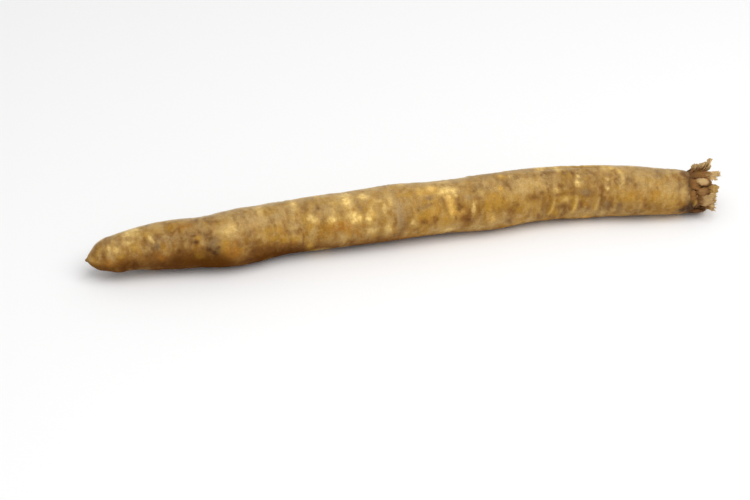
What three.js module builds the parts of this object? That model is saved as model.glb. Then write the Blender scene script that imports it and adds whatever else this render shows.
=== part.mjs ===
// A black salsify root, dug, washed and trimmed: one long taproot, and the dry leaf stubs on its crown.
// It lies at rest on its side. Millimetres, +Z up, +X from the root's tip towards its crown.
// Stations are distances along the root from its tip. Angles run round it from the top towards -Y.
import * as THREE from "three";

// ---------- Driving dimensions ----------

const CORE_END = 258.4; // station of the crown's blunt end, inside the ring of leaf stubs
const COLLAR = 251.4; // station where the skin ends and the crown begins

// [station, radius]: a worn tip, two thick stretches, a slimmer neck, then the step down to the crown.
const RADII = [
  [0, 0.7], [1.4, 2.0], [3, 3.5], [4.6, 4.9], [6.2, 5.8], [8.6, 6.8], [11, 7.45], [18, 8.5],
  [26, 9.35], [38, 10.15], [48, 10.55], [57, 11.5], [67, 11.8], [80, 11.1], [104, 11.25],
  [125, 11.75], [150, 11.2], [166, 11.7], [188, 11.1], [203, 10.75], [225, 10.5], [233, 10.1],
  [243, 9.6], [249, 9.1], [COLLAR, 8.1], [252.4, 5.2], [256, 4.9], [CORE_END, 4.0],
];

// [station, sideways]: nearly straight for three quarters of its length, then bent towards -Y.
const SIDEWAYS = [
  [0, -0.6], [4, -0.2], [12, 0.4], [30, 0.6], [55, -1.0], [80, 1.2], [125, 1.5], [165, 1.4],
  [190, 2.2], [211, 0.4], [230, -3.6], [250, -7.2], [268, -9.4],
];

// [station, height of the axis]: it rests on its two thick stretches and on its neck, with the tip clear.
const HEIGHTS = [
  [0, 9.4], [12, 10.1], [36, 11.0], [67, 11.55], [100, 11.6], [125, 11.9], [166, 11.35],
  [203, 10.95], [228, 10.4], [243, 9.35], [252, 9.25], [268, 9.6],
];

const OVAL_SHARE = 0.018; // how far the section is from round, as a share of the radius
const OVAL_TURN = 62; // stations over which the oval section turns by one radian
const SWELL_SHARE = 0.011; // depth of the shallow swellings along the root
const SWELL_SPAN = 7.3; // stations for one radian of a swelling
const SWELL_WOBBLE = 1.4; // how far a swelling wanders along the root as it goes round

const SIDES = 24;
const TIP_END = 13; // before this station, and after the last one ahead of the collar, rings follow RADII
const RING_STEP = 3.3; // distance between the rings of the long part between
const SLOPE_STEP = 0.5; // how far each way the axis is sampled for its direction

// Leaf stubs round the crown. angle and halfSpan are in degrees round the root, from the top towards
// -Y. to is the station of the torn end, lean is how far that end stands out, and thick is the
// thickness at the base and at the end.
const CROWN_GAP = 0.4; // clearance between the crown and the stubs that grow from it
const STUB_START = COLLAR + 1.5;
const STUB_BASE = 5.4; // radius of the crown where the stubs stand
const LEAF_STUBS = [
  { angle: -32, halfSpan: 19, to: 261.4, lean: 6.0, thick: [2.2, 1.0] },
  { angle: 0.5, halfSpan: 10.5, to: 263.4, lean: 1.2, thick: [2.2, 1.2] },
  { angle: 27, halfSpan: 12.5, to: 259.0, lean: 0.0, thick: [2.6, 0.9] },
  { angle: 60, halfSpan: 16.5, to: 258.6, lean: 0.2, thick: [2.3, 1.7] },
  { angle: 96, halfSpan: 16.5, to: 260.4, lean: 1.6, thick: [2.2, 1.3] },
  { angle: 128, halfSpan: 12.5, to: 257.6, lean: 0.2, thick: [2.0, 1.4] },
  { angle: 164, halfSpan: 20.5, to: 257.4, lean: 0.4, thick: [2.0, 1.2] },
  { angle: 206, halfSpan: 18.5, to: 258.8, lean: 0.8, thick: [2.0, 1.2] },
  { angle: 245, halfSpan: 18, to: 260.4, lean: 1.6, thick: [2.1, 1.2] },
  { angle: 286, halfSpan: 20, to: 261.6, lean: 3.0, thick: [2.1, 1.1] },
];
const TAPER = 0.25; // share of its width that a stub loses towards its torn end
const CURL = 1.4; // how late along a stub its lean comes: 1 is straight
const TEAR = 0.8; // depth of the notches in a torn end
const TEETH = 6; // how closely the notches follow each other
const STUB_GRID = [6, 1, 5]; // faces across, through and along a stub

// The young leaves at the heart of the crown, cut off together as one rolled stub.
const HEART = { angle: 50, radius: 2.5, offset: 2.4, to: 263.0 };
const HEART_TAPER = 0.7;
const HEART_GRID = [14, 4]; // sides, and faces along it

// ---------- Materials ----------

const skin = new THREE.MeshStandardMaterial({ color: 0xad8648, roughness: 0.62, metalness: 0 });
const dryLeaf = new THREE.MeshStandardMaterial({ color: 0x9a7845, roughness: 0.85, metalness: 0 });
const paleStalk = new THREE.MeshStandardMaterial({ color: 0xc8a66c, roughness: 0.7, metalness: 0 });

// ---------- The root's own frame ----------

// A smooth curve through [station, value] pairs: cubic, with each slope taken from the two neighbours.
function through(stations) {
  const last = stations.length - 1;
  const slope = (i) => {
    const [a, b] = [stations[Math.max(i - 1, 0)], stations[Math.min(i + 1, last)]];
    return (b[1] - a[1]) / (b[0] - a[0]);
  };
  return (s) => {
    let i = 0;
    while (i < last - 1 && s > stations[i + 1][0]) i += 1;
    const [[s0, v0], [s1, v1]] = [stations[i], stations[i + 1]];
    const span = s1 - s0;
    const t = THREE.MathUtils.clamp((s - s0) / span, 0, 1);
    const rise = t * t * (3 - 2 * t);
    const lead = t * (1 - t) * (1 - t) * slope(i) * span;
    const trail = t * t * (1 - t) * slope(i + 1) * span;
    return v0 + (v1 - v0) * rise + lead - trail;
  };
}

const radiusAt = through(RADII);
const sidewaysAt = through(SIDEWAYS);
const heightAt = through(HEIGHTS);
const UP = new THREE.Vector3(0, 0, 1);
const centreAt = (s) => new THREE.Vector3(s, sidewaysAt(s), heightAt(s));

// The point at a station, an angle from the top towards -Y, and a distance from the axis.
function place(s, angle, distance) {
  const along = centreAt(s + SLOPE_STEP).sub(centreAt(s - SLOPE_STEP)).normalize();
  const side = new THREE.Vector3().crossVectors(UP, along).normalize();
  const top = new THREE.Vector3().crossVectors(along, side);
  return centreAt(s)
    .addScaledVector(top, distance * Math.cos(angle))
    .addScaledVector(side, -distance * Math.sin(angle));
}

// The skin's radius: a section that is slightly oval, on shallow swellings.
function skinRadius(s, angle) {
  const oval = OVAL_SHARE * Math.cos(2 * angle - s / OVAL_TURN);
  const swell = SWELL_SHARE * Math.sin(s / SWELL_SPAN + SWELL_WOBBLE * Math.cos(angle));
  return radiusAt(s) * (1 + oval + swell);
}

// Moves every vertex of a geometry to where `to` puts it, and refreshes the normals.
function reshape(geometry, to) {
  const position = geometry.getAttribute("position");
  const point = new THREE.Vector3();
  for (let i = 0; i < position.count; i += 1) {
    const moved = to(point.fromBufferAttribute(position, i));
    position.setXYZ(i, moved.x, moved.y, moved.z);
  }
  geometry.computeVertexNormals();
  return geometry;
}

// ---------- Taproot and crown ----------

// A lathe of the radii, bent along the axis. Where the root bears on the surface its skin is flat.
function taproot() {
  const neck = RADII.findLast(([s]) => s < COLLAR)[0];
  const steps = Math.round((neck - TIP_END) / RING_STEP);
  const stations = RADII.map(([s]) => s).filter((s) => s < TIP_END || s > neck);
  for (let i = 0; i <= steps; i += 1) stations.push(THREE.MathUtils.lerp(TIP_END, neck, i / steps));
  stations.sort((a, b) => a - b);
  const profile = stations.map((s) => new THREE.Vector2(radiusAt(s), s));
  profile.unshift(new THREE.Vector2(0, 0));
  profile.push(new THREE.Vector2(0, CORE_END));
  const lathe = new THREE.LatheGeometry(profile, SIDES, Math.PI / SIDES, 2 * Math.PI);
  return reshape(lathe, ({ x, y, z }) => {
    const angle = Math.atan2(x, z);
    const share = Math.hypot(x, z) / radiusAt(y);
    const point = place(y, angle, share * skinRadius(y, angle));
    point.z = Math.max(point.z, 0);
    return point;
  });
}

// ---------- Leaf stubs ----------

// A strap wrapped round the crown: narrower, thinner and leaning out towards its end, torn in teeth.
function leafStub({ angle, halfSpan, to, lean, thick }) {
  const strap = new THREE.BoxGeometry(2, 1, 1, ...STUB_GRID);
  return reshape(strap, ({ x: across, y, z }) => {
    const along = z + 0.5;
    const turn = -halfSpan * across * (1 - TAPER * along);
    const torn = along === 1 ? TEAR * Math.abs(Math.sin(TEETH * across + angle)) : 0;
    const layer = (y + 0.5) * THREE.MathUtils.lerp(...thick, along);
    const distance = STUB_BASE + CROWN_GAP + layer + lean * along ** CURL;
    const station = THREE.MathUtils.lerp(STUB_START, to, along) - torn;
    return place(station, THREE.MathUtils.degToRad(angle + turn), distance);
  });
}

// A blunt cone that stands beside the crown's axis.
function heartStub({ angle, radius, offset, to }) {
  const from = CORE_END + CROWN_GAP;
  const cone = new THREE.CylinderGeometry(HEART_TAPER * radius, radius, to - from, ...HEART_GRID);
  const turn = THREE.MathUtils.degToRad(angle);
  return reshape(cone, ({ x, y, z }) => {
    const [up, out] = [z + offset * Math.cos(turn), x + offset * Math.sin(turn)];
    return place(y + (from + to) / 2, Math.atan2(out, up), Math.hypot(up, out));
  });
}

// ---------- The whole root ----------

const root = new THREE.Group();

function add(name, geometry, material) {
  const mesh = new THREE.Mesh(geometry, material);
  mesh.name = name;
  root.add(mesh);
}

add("taproot", taproot(), skin);
LEAF_STUBS.forEach((stub, i) => {
  add(`leaf_stub_${String(i + 1).padStart(2, "0")}`, leafStub(stub), dryLeaf);
});
add("heart_stub", heartStub(HEART), paleStalk);

// The origin is at the middle of the root's box, on the surface that it lies on.
const box = new THREE.Box3().setFromObject(root);
const middle = box.getCenter(new THREE.Vector3());
root.position.set(-middle.x, -middle.y, -box.min.z);

export default root;
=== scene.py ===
"""A black salsify root, dug, washed and trimmed, lying on a pale surface.

Lengths are in millimetres. Stations run along the root from its tip, and angles run round it from
its top towards -Y, in degrees where they are listed and in radians where they are worked with.
"""
import itertools

import bpy
import numpy as np
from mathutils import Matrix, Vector


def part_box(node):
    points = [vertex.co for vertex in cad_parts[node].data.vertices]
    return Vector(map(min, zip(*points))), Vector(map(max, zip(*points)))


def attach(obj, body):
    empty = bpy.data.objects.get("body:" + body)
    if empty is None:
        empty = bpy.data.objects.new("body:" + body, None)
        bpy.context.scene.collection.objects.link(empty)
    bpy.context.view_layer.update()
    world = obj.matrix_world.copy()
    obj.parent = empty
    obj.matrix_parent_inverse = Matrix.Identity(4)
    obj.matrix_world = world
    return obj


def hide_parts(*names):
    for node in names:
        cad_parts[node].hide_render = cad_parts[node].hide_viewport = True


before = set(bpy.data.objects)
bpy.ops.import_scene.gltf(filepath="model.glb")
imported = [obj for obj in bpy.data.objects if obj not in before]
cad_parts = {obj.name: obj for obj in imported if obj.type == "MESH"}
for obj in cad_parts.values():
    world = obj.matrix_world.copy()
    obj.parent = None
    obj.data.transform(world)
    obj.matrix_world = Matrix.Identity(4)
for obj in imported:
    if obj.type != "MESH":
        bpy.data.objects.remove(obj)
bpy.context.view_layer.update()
MM = 0.001  # the frame is in metres


# ---------- Taproot: its shape ----------
# One grown piece: a long root with a thin corky skin, bent near the crown, that was dug, washed and
# trimmed. It lies on two thick stretches and on its neck, where the skin is pressed flat.

COLLAR = 251.4  # where the skin ends and the crown begins
CORE_END = 258.4  # the crown's blunt end, inside the ring of leaf stubs
RADII = [
    [0, 0.4], [0.8, 0.9], [1.7, 2.2], [3, 3.5], [4.6, 4.9], [6.2, 5.8], [8.6, 6.8], [11, 7.45],
    [18, 8.5], [26, 9.35], [38, 10.15], [48, 10.55], [57, 11.5], [67, 11.8], [80, 11.1],
    [104, 11.25], [125, 11.75], [150, 11.2], [166, 11.7], [188, 11.1], [203, 10.75], [225, 10.5],
    [233, 10.1], [243, 9.6], [249, 9.1], [COLLAR, 8.4], [253, 7.6], [255, 7.1], [257, 6.2],
    [CORE_END, 4.6],
]
SIDEWAYS = [
    [0, -0.6], [4, -0.2], [12, 0.4], [30, 0.6], [55, -1.0], [80, 1.2], [125, 1.5], [165, 1.4],
    [190, 2.2], [211, 0.4], [230, -3.6], [250, -7.2], [268, -9.4],
]
HEIGHTS = [
    [0, 9.4], [12, 10.1], [36, 11.0], [67, 11.55], [100, 11.6], [125, 11.9], [166, 11.35],
    [203, 10.95], [228, 10.4], [243, 9.35], [252, 9.25], [268, 9.6],
]
OVAL_SHARE = 0.018  # how far the section is from round
OVAL_TURN = 62  # stations over which the oval turns by one radian
SWELL_SHARE = 0.011  # how high the shallow swellings are
SWELL_SPAN = 7.3  # stations over which a swelling turns by one radian of its wave
SWELL_WOBBLE = 1.4  # radians of that wave by which a swelling wanders as it goes round
SLOPE_STEP = 0.5  # how far each way the axis is sampled for its direction


def through(stations):
    """A smooth curve through [station, value] pairs: a cubic between each two, whose slope at a
    pair is that of the line through its two neighbours."""
    at, value = np.array(stations, float).T
    number = np.arange(len(at))
    before = np.maximum(number - 1, 0)
    after = np.minimum(number + 1, len(at) - 1)
    slope = (value[after] - value[before]) / (at[after] - at[before])

    def curve(station):
        i = np.clip(np.searchsorted(at, station, side="right") - 1, 0, len(at) - 2)
        span = at[i + 1] - at[i]
        t = np.clip((station - at[i]) / span, 0, 1)
        rise = t * t * (3 - 2 * t)
        lead = t * (1 - t) ** 2 * slope[i] * span
        trail = t * t * (1 - t) * slope[i + 1] * span
        return value[i] + (value[i + 1] - value[i]) * rise + lead - trail

    return curve


radius_at = through(RADII)
sideways_at = through(SIDEWAYS)
height_at = through(HEIGHTS)


def unit(vectors):
    """The same directions, each of length 1."""
    return vectors / np.linalg.norm(vectors, axis=-1, keepdims=True)


def axis_at(station):
    """The axis is at its station along X, with its own sideways and height curves."""
    return np.stack([station, sideways_at(station), height_at(station)], -1)


def place(station, angle, distance):
    """A point at a distance from the axis, in the plane square to it: up by the distance times the
    cosine of the angle, and towards -Y by the distance times its sine."""
    along = unit(axis_at(station + SLOPE_STEP) - axis_at(station - SLOPE_STEP))
    side = unit(np.cross([0, 0, 1], along))
    top = np.cross(along, side)
    up = (distance * np.cos(angle))[..., None] * top
    out = (distance * np.sin(angle))[..., None] * side
    return axis_at(station) + up - out


def skin_radius(station, angle):
    """The radius curve, made slightly oval by a slowly turning double wave, with shallow swellings
    that wander along the root as they go round it."""
    oval = OVAL_SHARE * np.cos(2 * angle - station / OVAL_TURN)
    swell = SWELL_SHARE * np.sin(station / SWELL_SPAN + SWELL_WOBBLE * np.cos(angle))
    return radius_at(station) * (1 + oval + swell)


# The rings of the skin, closest at the tip and at the crown: (from, to, how many). The rings of the
# cap shrink to close the crown.
RINGS = [(0, 12, 56), (12, 246, 538), (246, CORE_END, 44)]
CAP_RINGS = 16
CAP_DOME = 0.9  # how far the cap stands out
SIDES = 150

body_stations = [np.linspace(a, b, count, endpoint=False) for a, b, count in RINGS]
cap = np.arange(CAP_RINGS + 1) / (CAP_RINGS + 1)
ring_stations = np.concatenate([*body_stations, CORE_END + CAP_DOME * np.sqrt(1 - (1 - cap) ** 2)])
ring_shares = np.concatenate([np.ones(sum(count for *_, count in RINGS)), 1 - cap])
ring_angles = np.arange(SIDES) * 2 * np.pi / SIDES
station, angle = np.meshgrid(ring_stations, ring_angles, indexing="ij")
share = np.broadcast_to(ring_shares[:, None], station.shape)
radius = radius_at(station) * share

# The skin laid out straight: distance along it, then the round section's two directions.
skin_place = np.stack([station, radius * np.sin(angle), radius * np.cos(angle)], -1)

# The root's own frame is brought into the shared one by matching the bare skin's lowest corner.
bare = place(station, angle, share * skin_radius(station, angle))
shift = np.array(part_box("taproot")[0]) / MM - bare.min((0, 1))
shift[2] = 0


# ---------- Taproot: its relief ----------
# The skin is uneven at every size: broad swellings, ring folds where the root shrank along its
# length, scars where side roots were rubbed off, and a grain of fine wrinkles.

def corner_value(cell, seed):
    """A repeatable number from -1 to 1 for each whole-number address, by multiplying the address
    and folding its high bits over its low ones."""
    primes = np.array([73856093, 19349663, 83492791], np.uint64)
    mixed = (cell.astype(np.uint64) * primes).sum(-1) + np.uint64(seed * 2654435761)
    for fold, factor in ((15, 2246822519), (13, 3266489917), (16, 668265263)):
        mixed = mixed & np.uint64(0xFFFFFFFF)
        mixed = (mixed ^ (mixed >> np.uint64(fold))) * np.uint64(factor)
    return (mixed & np.uint64(0xFFFFF)).astype(float) / 0x7FFFF - 1


def lumps(points, size, seed):
    """Smooth random values of about -1 to 1, with lumps of the given size: every corner of a cubic
    lattice has a random slope, and the slopes are blended between the corners."""
    spot = points / size + 1000
    cell = np.floor(spot).astype(np.int64)
    part = spot - cell
    ease = part ** 3 * (part * (part * 6 - 15) + 10)
    total = np.zeros(spot.shape[:-1])
    for corner in itertools.product((0, 1), repeat=3):
        slopes = np.stack([corner_value(cell + corner, 3 * seed + k) for k in range(3)], -1)
        weight = np.where(np.array(corner) == 1, ease, 1 - ease).prod(-1)
        total += weight * (slopes * (part - corner)).sum(-1)
    return 1.7 * total


def layered(points, size, seed, layers=3):
    """Lumps of one size, with lumps half as big and half as high on them, and so on."""
    size = np.array(size, float)
    return sum(lumps(points, size / 2 ** k, seed + k) / 2 ** k for k in range(layers)) / 1.5


def wrap(turn):
    """The same turn, from minus half to plus half of a full one."""
    return (turn + np.pi) % (2 * np.pi) - np.pi


def step_up(value, low, high):
    """0 below low, 1 above high, and a smooth rise between."""
    t = np.clip((value - low) / (high - low), 0, 1)
    return t * t * (3 - 2 * t)


# The ring folds that stand out most: [station, middle angle, half span in degrees, slant, height].
BOLD_FOLDS = [
    [190.6, 89, 28, -3.0, 0.36], [200.7, 91, 28, -3.2, 0.38], [210.2, 88, 28, -3.2, 0.28],
    [218.6, 98, 24, -4.0, 0.30], [223.0, 102, 24, -4.0, 0.28], [184.7, 80, 24, -2.6, 0.14],
    [108.8, 57, 24, 1.4, 0.18], [114.5, 60, 36, -0.4, 0.20], [102.4, 88, 30, -0.3, 0.16],
    [97.6, 92, 30, 0.2, 0.16], [90.0, 90, 28, 0.0, 0.16], [121.6, 80, 30, -0.4, 0.14],
    [129.0, 62, 36, -0.6, 0.10], [149.2, 66, 40, -0.4, 0.14], [157.6, 66, 20, -0.4, 0.22],
    [170.0, 84, 30, -1.4, 0.12], [233.5, 52, 30, -0.8, 0.14], [26.6, 40, 18, 1.6, 0.18],
]
FOLD_COUNT = 170
FOLD_CROWDING = [
    [0, 0.1], [20, 0.4], [60, 0.6], [90, 1.2], [150, 1.1], [180, 1.5], [226, 1.6], [251, 1.8],
]
FOLD_WIDTH = 1.05
BOLD_WIDTH = 1.7  # how much wider the bold folds are
draw = np.random.default_rng(5)

along_root = np.linspace(12, COLLAR - 1, 480)
crowd = np.cumsum(np.maximum(through(FOLD_CROWDING)(along_root), 0))
fold_stations = np.interp(draw.random(FOLD_COUNT) * crowd[-1], crowd, along_root)
faint_folds = np.stack([
    fold_stations,
    draw.uniform(0, 360, FOLD_COUNT),
    draw.uniform(14, 70, FOLD_COUNT),
    draw.normal(-0.5, 0.9, FOLD_COUNT),
    draw.uniform(0.03, 0.12, FOLD_COUNT),
], -1)

fold_drift = 1.1 * lumps(skin_place, 9, 31) + 0.35 * lumps(skin_place, 3, 32)


def fold(at, middle, half_span, slant, height, width):
    """A ring fold: a ridge on its crown side and a hollow on its tip side, each a bell curve along
    the root, on a line that slants and drifts, fading towards the ends of its span."""
    turn = wrap(angle - np.radians(middle))
    reach = 1 - step_up(np.abs(turn), 0.45 * np.radians(half_span), np.radians(half_span))
    across = (station - at - slant * turn - fold_drift) / width
    ridge = np.exp(-(across - 0.75) ** 2 / 0.55)
    hollow = np.exp(-(across + 0.85) ** 2 / 0.75)
    return height * reach * ridge, 0.8 * height * reach * hollow


ridges = np.zeros(station.shape)
hollows = np.zeros(station.shape)
widths = [BOLD_WIDTH] * len(BOLD_FOLDS) + draw.uniform(0.6, 1.25, FOLD_COUNT).tolist()
for spec, width in zip([*BOLD_FOLDS, *faint_folds], widths):
    ridge, hollow = fold(*spec, width * FOLD_WIDTH)
    ridges += ridge
    hollows += hollow

# A pale fold along the upper edge of the neck that turns down across it: [station, angle].
LONG_FOLD = [
    [188, -16], [203.5, -21], [216.3, -18], [219.4, -8], [221.3, 4], [222.6, 16], [223.3, 30],
]
LONG_FOLD_RISE = (186, 192)  # the stations between which it grows clear
NECK_RADIUS = 10.6


def near_path(stops, width):
    """1 on a line of [station, angle] stops laid on the skin, falling off as a bell curve of the
    distance to it, measured along and round the root."""
    drifted = station + 0.5 * fold_drift
    nearest = np.full(station.shape, np.inf)
    for (from_at, from_turn), (to_at, to_turn) in itertools.pairwise(stops):
        turn = wrap(angle - np.radians(from_turn)) * radius
        step = np.array([to_at - from_at, np.radians(to_turn - from_turn) * NECK_RADIUS])
        gap = np.stack([drifted - from_at, turn], -1)
        t = np.clip(gap @ step / (step @ step), 0, 1)
        nearest = np.minimum(nearest, np.linalg.norm(gap - t[..., None] * step, axis=-1))
    return np.exp(-(nearest / width) ** 2)


long_fold = near_path(LONG_FOLD, 0.85)
long_fold_foot = near_path([[at - 0.9, turn + 8] for at, turn in LONG_FOLD], 0.9)

# Round scars of side roots, a sunk middle in a raised rim: [station, angle, radius, depth], with the
# depth a share of the radius.
BOLD_SCARS = [
    [44.0, 41, 0.7, 0.4], [44.5, 56, 0.8, 0.5], [49.3, 43, 1.5, 0.12], [94.4, 26, 0.6, 0.3],
    [151.4, 42, 0.9, 0.3], [151.6, 65, 0.9, 0.4], [150.0, 83, 0.6, 0.3], [145.6, 41, 0.6, 0.3],
    [199.4, 5, 0.9, 0.3], [206.9, 60, 1.7, 0.10], [134.5, 58, 0.6, 0.15], [28.2, 57, 0.9, 0.25],
    [12.0, 33, 0.8, 0.2], [233.0, 27, 0.9, 0.15],
]
SCAR_COUNT = 40
scars = BOLD_SCARS + list(zip(
    draw.uniform(8, 246, SCAR_COUNT),
    draw.uniform(125, 345, SCAR_COUNT),
    draw.uniform(0.35, 0.9, SCAR_COUNT),
    draw.uniform(0.15, 0.6, SCAR_COUNT),
))

pits = np.zeros(station.shape)
rims = np.zeros(station.shape)
ragged = 0.30 * lumps(skin_place, 1.6, 41)
for at, middle, size, depth in scars:
    turn = wrap(angle - np.radians(middle)) * radius
    distance = np.hypot(station - at, 0.8 * turn) / size + ragged
    pits = np.maximum(pits, depth * size * np.exp(-distance ** 2 * 1.3))
    rims = np.maximum(rims, 0.13 * size * np.exp(-(distance - 1.35) ** 2 / 0.18))

# Small raised warts: [station, angle, radius, height].
BOLD_WARTS = [
    [11.4, 117, 1.9, 0.5], [203.4, 41, 0.8, 0.22], [204.0, 22, 0.5, 0.18], [193.9, 49, 1.2, 0.18],
    [106.6, 20, 1.8, 0.16], [113.8, 13, 1.6, 0.18], [148.0, 24, 3.0, 0.20], [20.0, 2, 2.4, 0.15],
]
WART_COUNT = 60
warts = BOLD_WARTS + list(zip(
    draw.uniform(10, 248, WART_COUNT),
    draw.uniform(0, 360, WART_COUNT),
    draw.uniform(0.5, 1.3, WART_COUNT),
    draw.uniform(0.05, 0.16, WART_COUNT),
))
bumps = np.zeros(station.shape)
for at, middle, size, height in warts:
    turn = wrap(angle - np.radians(middle)) * radius
    distance = np.hypot(station - at, turn) / size + ragged
    bumps = np.maximum(bumps, height * np.exp(-distance ** 2))

broad = 0.30 * lumps(skin_place, 21, 1) + 0.16 * layered(skin_place, 8, 3)
wrinkles = 0.050 * layered(skin_place, [2.2, 5, 5], 11, 2)
wrinkles += 0.04 * lumps(skin_place, [14, 1.9, 1.9], 17)
fine_grain = 0.022 * layered(skin_place, 1.3, 21, 2)
relief = broad + ridges - hollows + 0.28 * long_fold - 0.20 * long_fold_foot
relief += rims - pits + bumps + wrinkles + fine_grain

# Where the skin stands fuller (or, below 0, thinner) than the plain curve along its upper and its
# lower outline: [station, above, below].
FULLNESS = np.array([
    [0, -0.3, 0.5], [0.9, -0.75, 1.6], [2, -0.75, 1.3], [5, -0.1, 0.25], [8, 0, -0.3],
    [13, -0.45, 0.1], [16, -0.35, -0.5], [20, -0.2, -0.75], [26, 0, -0.35], [36, 0, 0],
    [44, -0.4, 0], [60, -0.45, 0], [71, -0.5, 0], [77, -0.2, 0], [95, -0.1, 0], [130, 0, 0],
    [140, -0.4, 0], [150, -0.1, 0], [195, 0, 0.3], [208, 0, 0.6], [216, 0, 0.4], [226, 0, 0],
    [236, 0, -0.4], [244, 0, -0.6], [250, -0.1, -0.3],
])
UPPER_ANGLE, UPPER_SPREAD = -35, 0.7  # the middle of the outline, and the radians that it spreads over
LOWER_ANGLE, LOWER_SPREAD = 145, 0.5
above = np.exp(-(wrap(angle - np.radians(UPPER_ANGLE)) / UPPER_SPREAD) ** 2)
below = np.exp(-(wrap(angle - np.radians(LOWER_ANGLE)) / LOWER_SPREAD) ** 2)
fuller = above * through(FULLNESS[:, [0, 1]])(station)
fuller += below * through(FULLNESS[:, [0, 2]])(station)
relief += fuller

# Past the collar the crown is a rough stump, ringed by the scars of leaves that have gone. One lump
# of pale skin reaches over the collar.
LUMP_AT, LUMP_ANGLE, LUMP_SIZE, LUMP_HEIGHT = 252.2, 90, 1.35, 1.5
COLLAR_RADIUS = 8
on_crown = step_up(station + 0.9 * lumps(skin_place, 3, 55), COLLAR - 2.0, COLLAR + 0.6)
leaf_scars = 0.16 * np.sin(station * 4.2 + 1.5 * lumps(skin_place, 4, 51))
leaf_scars += 0.4 * lumps(skin_place, 2.4, 53)
crown_fibres = 0.28 * lumps(skin_place, [5, 0.9, 0.9], 52)
relief = relief * (1 - on_crown) + on_crown * (leaf_scars + crown_fibres)
round_collar = wrap(angle - np.radians(LUMP_ANGLE)) * COLLAR_RADIUS
lump_on_collar = np.exp(-np.hypot((station - LUMP_AT) / LUMP_SIZE, round_collar / LUMP_SIZE) ** 2.6)
relief += LUMP_HEIGHT * lump_on_collar

# The relief is lower where the root is slim, and the crown's end has rings round its middle.
slim = np.clip(radius / 8, 0.12, 1)
skin = place(station, angle, share * skin_radius(station, angle) + slim * relief) + shift
on_end = step_up(station, CORE_END - 0.2, CORE_END + 0.3) * step_up(radius, 0.2, 1.4)
leaf_rings = 0.35 * np.sin(radius * 4.4 + 1.4 * np.sin(2 * angle) + 2.0 * lumps(skin_place, 3, 57))
skin[..., 0] += on_end * (leaf_rings + 0.7 * lumps(skin_place, 2.2, 58))
skin[..., 2] = np.maximum(skin[..., 2], 0)


# ---------- Taproot: the marks on its skin ----------
# Scrubbing wore some places down to pale tissue. Elsewhere it left films of dead cork, soil stains
# and rust-coloured bruises. [station, angle, half length, half width, slant in degrees, strength]: a
# mark that lies straight along the root has no slant in its row.

PALE = [
    [100, 19, 2.2, 1.4, 0.3], [101.4, 35, 1.5, 1.2, 0.35], [107, 33, 1.2, 1.2, 0.3],
    [147.2, 115, 2.4, 1.6, 0.5], [108.2, 61, 1.6, 1.5, 0.8], [218.6, -7, 2.2, 1.4, 0.5],
    [115.1, 87, 1.6, 1.6, 0.45], [147.6, -9, 2.4, 1.3, 0.45], [252.2, 91, 0.9, 0.9, 0.3],
    [161, 36, 1.6, 1.2, 0.35], [9.6, 30, 0.8, 1.4, 5, 0.65], [12.2, 46, 1.0, 1.5, -10, 0.55],
    [17, 34, 1.8, 1.0, 0.5], [20, -3, 3.0, 2.8, 0.75], [18, 8, 2.0, 1.6, 0.35],
    [26.6, 36, 0.7, 2.0, 20, 0.55], [57.3, 42, 2.8, 1.3, 0.42], [58.5, 33, 2.0, 1.2, 0.3],
    [70.8, 4, 1.4, 3.2, -12, 0.45], [84.9, 3, 1.3, 3.2, -5, 0.7], [90.2, 43, 1.3, 1.0, 0.7],
    [92, 50, 1.5, 1.1, 20, 0.75], [99.4, 53, 1.5, 1.1, 1], [106.5, 18, 1.9, 2.1, 1],
    [106.3, -4, 2.8, 2.6, 0.5], [107.2, 35, 1.0, 1.3, 0.2], [113.5, 10, 1.9, 1.7, 1],
    [107.6, 50, 2.3, 1.2, 0.85], [110.5, 58, 1.1, 1.3, 0.75], [115.6, 44, 0.8, 2.0, -15, 0.6],
    [114.0, 59.5, 1.1, 2.2, -6, 0.9], [119, 27, 1.6, 0.9, 0.4], [121, 46, 1.0, 1.9, -10, 0.5],
    [123.7, 32, 0.9, 1.6, 0.55], [121.6, 87, 1.3, 1.8, 0.7], [130.3, -14, 1.2, 1.6, 0.5],
    [141.5, 11, 1.2, 1.2, 0.3], [148.2, 19, 2.8, 1.6, 1], [145.6, 26, 2.0, 1.1, 0.7],
    [150.6, 29, 1.1, 2.0, 10, 0.6], [148, 38, 1.0, 1.2, 0.35], [146.8, 14, 1.0, 1.4, 0.4],
    [157.6, 66, 0.7, 2.6, -4, 0.65], [185.2, 35, 1.8, 1.2, 0.2], [196.4, -10, 1.8, 2.4, 0.5],
    [203.3, 38, 1.1, 1.5, 25, 0.75], [204.2, 20, 0.7, 0.8, 0.9], [193.6, 51, 1.9, 1.1, 0.45],
    [197.8, 72, 1.8, 1.0, 0.4], [216.6, 52, 0.7, 0.8, 0.8], [216.6, 29, 1.0, 0.9, 0.4],
    [215.3, -8, 1.6, 3.0, 0.3], [233.4, 42, 0.8, 2.0, 0.22], [231, 52, 0.8, 1.5, 0.25],
    [222.4, 34, 0.7, 1.2, 15, 0.45], [176, 5, 1.2, 2.2, -15, 0.4], [132.2, 81, 0.8, 0.9, 0.5],
]
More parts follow.
